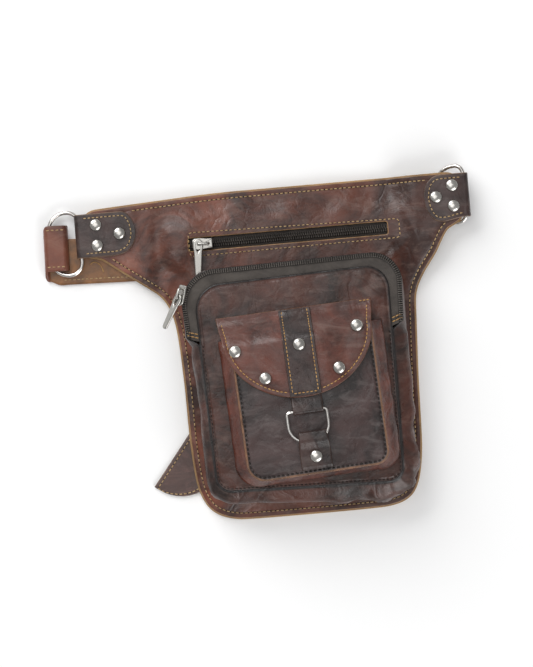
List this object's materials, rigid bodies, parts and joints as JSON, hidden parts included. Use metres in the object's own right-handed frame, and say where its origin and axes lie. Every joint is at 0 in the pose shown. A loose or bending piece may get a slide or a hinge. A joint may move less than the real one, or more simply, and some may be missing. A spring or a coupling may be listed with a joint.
{
  "type": "leather waist bag",
  "caption": "Flat leather waist bag on a wide belt band, with a zipped pouch, a flapped front pocket with a ring closure, a zip slot above, end tabs with D-rings and belt straps.",
  "frame": {"origin": "middle of the underside of the bag's box, on the table it lies on", "axes": "+X to the right along the belt band as seen from the front, +Y up the bag towards its top edge, +Z out of its front"},
  "size_m": [0.342, 0.2706, 0.0682],
  "materials": {
    "brown_leather": "glossy pull-up",
    "dark_leather": "glossy pull-up",
    "raw_leather": "raw",
    "zip_tape": "woven",
    "nickel": "polished",
    "zip_metal": "satin"
  },
  "bodies": {
    "bag": {"front_panel": "brown_leather", "pouch_gusset": "brown_leather", "pouch_front": "brown_leather", "pocket_gusset": "brown_leather", "pocket_flap": "brown_leather", "left_strap": "brown_leather", "right_strap": "brown_leather", "pocket_front": "dark_leather", "flap_strip": "dark_leather", "flap_loop": "dark_leather", "closure_tab": "dark_leather", "left_tab": "dark_leather", "right_tab": "dark_leather", "back_panel": "raw_leather", "top_zip": "zip_tape", "pouch_zip": "zip_tape", "closure_ring": "nickel", "left_ring": "nickel", "right_ring": "nickel", "strap_buckle": "nickel", "tab_rivet": "nickel", "flap_rivet_1": "nickel", "flap_rivet_2": "nickel", "flap_rivet_3": "nickel", "flap_rivet_4": "nickel", "flap_rivet_5": "nickel", "left_rivet_1": "nickel", "left_rivet_2": "nickel", "left_rivet_3": "nickel", "right_rivet_1": "nickel", "right_rivet_2": "nickel", "right_rivet_3": "nickel", "top_slider": "zip_metal", "side_slider": "zip_metal"},
    "top_pull_body": {"top_pull": "zip_metal"},
    "side_pull_body": {"side_pull": "zip_metal"}
  },
  "joints": [
    {"name": "top_pull_swing", "type": "hinge", "parent": "bag", "child": "top_pull_body", "pos_m": [-0.0473, 0.08725, 0.01546], "axis": [0, 0, -1], "range_deg": [0, 170]},
    {"name": "side_pull_swing", "type": "hinge", "parent": "bag", "child": "side_pull_body", "pos_m": [-0.06642, 0.04501, 0.03863], "axis": [-0.6668, 0.2353, 0.7071], "range_deg": [0, 120]}
  ]
}
